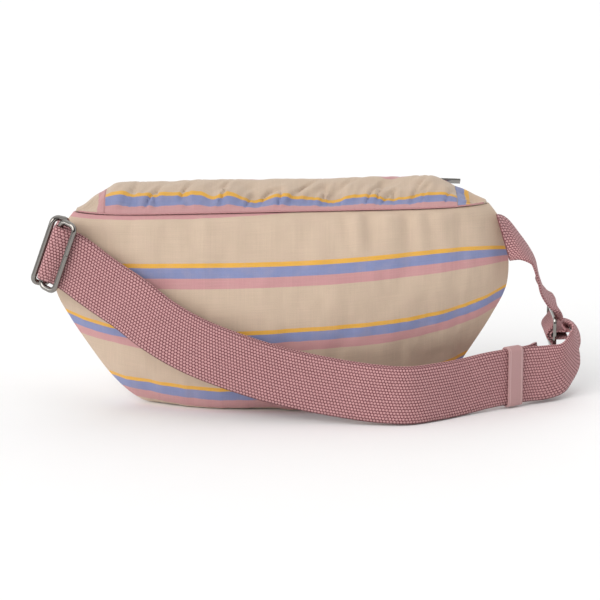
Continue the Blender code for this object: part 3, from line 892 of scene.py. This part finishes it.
def seam_cord():
    """Rolled seam along the back rim, between the lid and the back panel."""
    line = []
    for x in steps(-RIM_HALF + 4.0, RIM_HALF - 4.0, 220):
        p = top_point(x, rim_back(x), 0.0)
        line.append(p + Vector((0.0, -0.25, -0.55 + 0.12 * math.sin(x * 1.9))))
    mesh = tube_mesh("back_seam", line, 0.55, False, 10)
    obj = link("back_seam", mesh, PINK_SEAM, "pouch")


seam_cord()
tab_seams()
panel_cloth("back_cloth", False, ("back_panel",))
panel_cloth("front_cloth", True, ("front_panel",))
lining_cloth("back_lining", False, CLOTH + GAP + 0.6, ("lining_back",))
lining_cloth("front_lining", True, CLOTH + 1.6, ("lining_front",))
lid_cloth()
front_strip()
end_tabs()

# ---------------------------------------------------------------- zip

def zip_tapes():
    under = CLOTH + GAP + 0.2
    xs = steps(-ZIP_HALF, ZIP_HALF, 120)
    points, flats = top_grid(xs, lambda x: 47.1, lambda x: 51.8, 4, under, False)
    mesh = sheet_mesh("front_tape", points, flats)
    obj = link("front_tape", mesh, TAPE, "pouch", ("zip_tape_front",))
    thicken(obj, 0.6)
    for side, name in ((-1, "back_tape_left"), (1, "back_tape_right")):
        far = -ZIP_HALF if side < 0 else SLIDER_X - 10.0
        xs = sorted(steps(0.0, far, 60))
        points, flats = top_grid(xs, lambda x: 34.0, lambda x: 44.3, 8, under + 0.5, False)
        mesh = sheet_mesh(name, points, flats)
        obj = link(name, mesh, TAPE, None)
        thicken(obj, 0.6)
        apply_modifiers(obj)
        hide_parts("zip_tape_back")
        bend_lid(obj)


def coil_mesh(name, xs_from, xs_to, y_at, pitch=1.6):
    """Nylon loops in a row along the top at this y, as small bent rods."""
    bm = bmesh.new()
    count = max(2, int(abs(xs_to - xs_from) / pitch))
    for k in range(count):
        x = xs_from + (xs_to - xs_from) * (k + 0.5) / count
        middle = top_point(x, y_at, 0.5)
        before = top_point(x, y_at - 1.0, 0.5)
        after = top_point(x, y_at + 1.0, 0.5)
        tangent = (after - before).normalized()
        up = Vector((1.0, 0.0, 0.0)).cross(tangent).normalized()
        ring = []
        for a in range(8):
            turn = a * math.pi / 4
            offset = tangent * (1.05 * math.cos(turn)) + up * (0.62 * math.sin(turn))
            ring.append(middle + offset)
        radius = 0.34
        sections = []
        for a, centre in enumerate(ring):
            outer = (centre - middle).normalized()
            section = []
            for b in range(4):
                spin = b * math.pi / 2
                sideways = Vector((radius * math.sin(spin), 0, 0))
                place_at = centre + outer * (radius * math.cos(spin)) + sideways
                section.append(bm.verts.new(world(place_at)))
            sections.append(section)
        for a in range(8):
            first, second = sections[a], sections[(a + 1) % 8]
            for b in range(4):
                c = (b + 1) % 4
                bm.faces.new((first[b], first[c], second[c], second[b]))
    bmesh.ops.recalc_face_normals(bm, faces=bm.faces)
    mesh = bpy.data.meshes.new(name)
    bm.to_mesh(mesh)
    bm.free()
    return mesh


def zip_coils():
    mesh = coil_mesh("front_coil", -ZIP_HALF, ZIP_HALF, 47.75)
    obj = link("front_coil", mesh, COIL, "pouch", ("zip_coil_front",))
    for side, name in ((-1, "back_coil_left"), (1, "back_coil_right")):
        far = -ZIP_HALF if side < 0 else SLIDER_X - 10.0
        mesh = coil_mesh(name, 0.0 if side > 0 else far, far if side > 0 else 0.0, 43.95)
        obj = link(name, mesh, COIL, None)
        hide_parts("zip_coil_back")
        bend_lid(obj)


zip_tapes()
zip_coils()

# ---------------------------------------------------------------- wire goods

def ring_place(u, n, b):
    return RING_AT + RING_UP * u + RING_ACROSS * n + RING_OUT * b


def rounded_ring(length, span, radius, arc):
    corners = (
        (length / 2 - radius, span / 2 - radius, 0.0), (-length / 2 + radius, span / 2 - radius, 90.0),
        (-length / 2 + radius, -span / 2 + radius, 180.0), (length / 2 - radius, -span / 2 + radius, 270.0),
    )
    line = []
    for cu, cn, start in corners:
        for step in steps(0.0, 90.0, arc):
            turn = math.radians(start + step)
            line.append((cu + radius * math.cos(turn), cn + radius * math.sin(turn)))
    return line


def subdivide_line(line, longest=2.0):
    made = []
    for a, b in zip(line, line[1:] + line[:1]):
        a, b = Vector(a), Vector(b)
        parts = max(1, int((b - a).length / longest))
        made += [a.lerp(b, k / parts) for k in range(parts)]
    return made


def ring_piece(name, body, left, right, node):
    """A wire ring lying between two bars given as (n, b), with its ends butted in one bar."""
    middle = ((left[0] + right[0]) / 2, (left[1] + right[1]) / 2)
    slope = Vector((right[0] - left[0], right[1] - left[1])).normalized()
    line = []
    for u, n in rounded_ring(RING_LENGTH - 2 * WIRE, RING_SPAN, 3.9, 9):
        line.append(ring_place(u, middle[0] + slope.x * n, middle[1] + slope.y * n))
    line = subdivide_line([tuple(p) for p in line], 3.0)
    joint = min(range(len(line)), key=lambda i: (line[i] - ring_place(2.5, *right)).length)
    line = line[joint:] + line[:joint]
    here = line[0]
    ahead = (line[1] - here).normalized()
    behind = (line[-1] - here).normalized()
    line = [here + ahead * 0.10, here + ahead * 0.30] + line[1:]
    line += [here + behind * 0.30, here + behind * 0.10]
    mesh = tube_mesh(name, line, WIRE, False, 20)
    for polygon in mesh.polygons:
        polygon.use_smooth = len(polygon.vertices) == 4
    obj = link(name, mesh, NICKEL, body, (node,))
    for polygon in obj.data.polygons:
        polygon.use_smooth = len(polygon.vertices) == 4


ring_piece("bag_wire_ring", "bag_ring", BAG_RING[0], BAG_RING[1], "bag_ring")
ring_piece("strap_wire_ring", "strap_ring", STRAP_RING[0], STRAP_RING[1], "strap_ring")

# ---------------------------------------------------------------- webbing

def belt_route():
    """Middle line of the belt, with the direction of its width, from the right side seam to its sewn end."""
    points, widths = [], []

    def add(point, width):
        points.append(Vector(point))
        widths.append(Vector(width))

    ax, ay, az = ADJUSTER
    outer = BAR + 0.4 + WEB / 2
    inner = BAR + 0.4 + WEB + 0.4 + WEB / 2
    flat = (0.0, 1.0, 0.0)
    back = (0.0, -1.0, 0.0)
    add((148.8, 2.4, 112.6), (-0.28, 0.2, 0.93))
    add((156.3, 5.5, 112.0), (-0.2, 0.72, 0.6))
    add((164.2, 10.5, 105.4), (-0.12, 0.92, 0.3))
    add((170.8, 17.0, 92.5), (0.0, 0.98, 0.2))
    add((174.8, 23.0, 80.5), (0.05, 0.99, 0.08))
    add((179.2, 28.8, 71.6), (0.03, 0.99, 0.02))
    add((184.0, 33.6, 65.8), flat)
    add((ax + outer + 0.2, ay - 0.8, az + 16.0), flat)
    add((ax + outer, ay, az + 12.0), flat)
    add((ax - 0.8, ay, az + 6.3), flat)
    add((ax - inner, ay, az), flat)
    add((ax - 0.8, ay, az - 6.3), flat)
    add((ax + outer, ay, az - 12.0), flat)
    add((ax + outer + 1.0, ay - 0.5, az - 16.5), flat)
    add((187.8, 36.2, 23.0), (0.2, 1.0, 0.0))
    add((180.2, 32.6, 17.5), (-0.5, 0.4, 0.77))
    add((176.0, 21.5, 19.5), (-0.2, 0.15, 0.97))
    add((170.0, 12.2, 21.0), (0.0, 0.0, 1.0))

    for point, width, gap in reversed(RUN):
        add(run_point(point, -gap), width)
    turn = WIRE + 0.4 + WEB / 2
    for n in (4.0, 1.4):
        add(ring_place(0.0, STRAP_RING[0][0] + n, -turn), RING_UP)
    for angle in steps(-90.0, -270.0, 8):
        n = STRAP_RING[0][0] + turn * math.cos(math.radians(angle))
        b = STRAP_RING[0][1] + turn * math.sin(math.radians(angle))
        add(ring_place(0.0, n, b), RING_UP)
    for n in (1.4, 4.0):
        add(ring_place(0.0, STRAP_RING[0][0] + n, turn), RING_UP)
    for point, width, gap in RUN:
        add(run_point(point, gap), width)

    add((180.0, 8.4, 21.2), (0.0, -0.05, 1.0))
    add((191.6, 13.4, 24.0), (-0.1, -0.3, 0.95))
    add((199.4, 23.6, 32.0), (-0.35, -0.8, 0.5))
    add((200.8, 31.5, 40.5), (-0.1, -1.0, 0.1))
    add((197.2, ay, az + 1.8), back)
    add((191.5, ay, az + outer), back)
    add((187.0, ay, az + outer), back)
    for angle in steps(90.0, 270.0, 6):
        add((
            ax + outer * math.cos(math.radians(angle)), ay,
            az + outer * math.sin(math.radians(angle)),
        ), back)
    add((ax + 1.6, ay, az - outer), back)
    add((ax + 4.5, ay, az - outer), back)
    add((ax + 9.5, ay, az - outer + 0.4), back)
    return points, widths


def run_point(point, gap):
    x, y, z, away_x, away_y = point
    return Vector((x + away_x * gap, y + away_y * gap, z))


def ribbon_frames(points, widths, every, sewn=False):
    count = (len(points) - 1) * every + 1
    line = [Vector(spline(points, i / every)) for i in range(count)]
    sides = [Vector(spline(widths, i / every)) for i in range(count)]
    frames = []
    for i, point in enumerate(line):
        along = (line[min(i + 1, count - 1)] - line[max(i - 1, 0)]).normalized()
        free = min(1.0, 0.3 * i / every) if sewn else 1.0
        side = (sides[i] - sides[i].dot(along) * free * along).normalized()
        frames.append((point, side, along.cross(side).normalized(), along))
    return frames


def ribbon_mesh(name, frames, half, thickness, across=12, tucked=0.0):
    """Closed webbing with rounded selvedges and cloth coordinates."""
    bm = bmesh.new()
    layer = bm.loops.layers.uv.new("cloth")
    half_thick = thickness / 2
    profile = []
    for k in range(across + 1):
        profile.append((-1.0 + 2.0 * k / across, 1.0))
    for k in range(across, -1, -1):
        profile.append((-1.0 + 2.0 * k / across, -1.0))
    rings, run, last = [], 0.0, None
    for point, side, normal, _ in frames:
        tuck = smoothstep(1.0 - run / tucked) if tucked else 0.0
        if last is not None:
            run += (point - last).length
        last = point
        ring = []
        for u, face in profile:
            thin = half_thick * (0.55 + 0.45 * smoothstep((1.0 - abs(u)) * half / 1.2))
            wide = half * (1.0 - 0.30 * tuck * max(0.0, -u))
            place_at = point + side * (u * wide) + normal * (face * thin)
            ring.append(bm.verts.new(world(place_at)))
        rings.append((ring, run))
    count = len(profile)
    for (first, run_a), (second, run_b) in zip(rings, rings[1:]):
        for k in range(count):
            m = (k + 1) % count
            face = bm.faces.new((first[k], first[m], second[m], second[k]))
            for loop, (index, run) in zip(face.loops, ((k, run_a), (m, run_a), (m, run_b), (k, run_b))):
                loop[layer].uv = (profile[index][0] * half + 40.0, run)
    bm.faces.new(rings[0][0][::-1])
    bm.faces.new(rings[-1][0])
    bmesh.ops.recalc_face_normals(bm, faces=bm.faces)
    mesh = bpy.data.meshes.new(name)
    bm.to_mesh(mesh)
    bm.free()
    return mesh, rings[-1][1]


def belt():
    points, widths = belt_route()
    frames = ribbon_frames(points, widths, 10, True)
    mesh, length = ribbon_mesh("belt", frames, WEB_WIDTH / 2, WEB, 12, 16.0)
    obj = link("belt", mesh, WEBBING, "pouch", ("waist_strap",))
    return obj, length, frames


def ring_loop():
    turn = WIRE + 0.4 + WEB / 2
    centre = BAG_RING[1]
    loop = [(-5.2, -16.6), (-4.6, -14.2)]
    for angle in steps(196.0, -70.0, 9):
        at = math.radians(angle)
        loop.append((centre[0] + turn * math.cos(at), centre[1] + turn * math.sin(at)))
    loop += [(-1.4, -14.2), (-2.2, -16.6)]
    points = [ring_place(0.0, n, b) for n, b in loop]
    frames = ribbon_frames(points, [RING_UP] * len(points), 6)
    mesh, _ = ribbon_mesh("ring_loop", frames, WEB_WIDTH / 2, WEB)
    obj = link("ring_loop", mesh, WEBBING, "pouch", ("ring_tab",))


BELT, BELT_LENGTH, BELT_FRAMES = belt()
ring_loop()


def keeper():
    """Band round both layers of the belt, with lines of stitching along its edges."""
    outer_u, outer_n = WEB_WIDTH + 2.8, 8.4
    line = rounded_ring(outer_u, outer_n, 3.0, 8)
    line = [(p.x, p.y) for p in subdivide_line([(u, n, 0.0) for u, n in line], 2.0)]
    bm = bmesh.new()
    layer = bm.loops.layers.uv.new("cloth")
    half = KEEPER_WIDTH / 2
    profile = [(-half, 0.15), (-half * 0.97, 0.5), (-half * 0.9, 0.62)]
    for k in range(1, 8):
        profile.append((-half * 0.9 + half * 1.8 * k / 8, 0.55 + 0.1 * math.sin(math.pi * k / 8)))
    profile += [(half * 0.9, 0.62), (half * 0.97, 0.5), (half, 0.15), (half, -0.5), (-half, -0.5)]
    rings, run = [], 0.0
    up = Vector((0.0, 0.0, 1.0))
    for i, (u, n) in enumerate(line):
        before, after = line[i - 1], line[(i + 1) % len(line)]
        tangent = Vector((after[0] - before[0], after[1] - before[1])).normalized()
        away = Vector((tangent.y, -tangent.x))
        if away.dot(Vector((u, n))) < 0:
            away = -away
        centre = KEEPER_AT + up * u + KEEPER_OUT * n
        out = up * away.x + KEEPER_OUT * away.y
        if i:
            run += math.hypot(u - before[0], n - before[1])
        section = [centre + KEEPER_ALONG * a + out * (h - 0.5) for a, h in profile]
        rings.append(([bm.verts.new(world(point)) for point in section], run))
    count = len(profile)
    total = run + math.hypot(line[0][0] - line[-1][0], line[0][1] - line[-1][1])
    for i in range(len(rings)):
        first, run_a = rings[i]
        second, run_b = rings[(i + 1) % len(rings)]
        if i == len(rings) - 1:
            run_b = total
        for k in range(count):
            m = (k + 1) % count
            face = bm.faces.new((first[k], first[m], second[m], second[k]))
            for loop, (index, at) in zip(face.loops, ((k, run_a), (m, run_a), (m, run_b), (k, run_b))):
                loop[layer].uv = (profile[index][0], at)
    bmesh.ops.recalc_face_normals(bm, faces=bm.faces)
    mesh = bpy.data.meshes.new("keeper_band")
    bm.to_mesh(mesh)
    bm.free()
    obj = link("keeper_band", mesh, TWILL, "keeper", ("keeper_loop",))


keeper()

for node in ("adjuster_frame", "adjuster_bar", "zip_slider", "zip_pull", "zip_stop_closed", "zip_stop_open"):
    shown = frame["nodes"][node]
    shown.data.materials.clear()
    shown.data.materials.append(NICKEL)

# ---------------------------------------------------------------- floor

def floor():
    mesh = bpy.data.meshes.new("floor")
    size = 9.0
    corners = [(-size, -size, 0), (size, -size, 0), (size, size, 0), (-size, size, 0)]
    mesh.from_pydata(corners, [], [(0, 1, 2, 3)])
    obj = bpy.data.objects.new("floor", mesh)
    obj.location.z = -0.0005
    bpy.context.scene.collection.objects.link(obj)
    mesh.materials.append(floor_material())


floor()
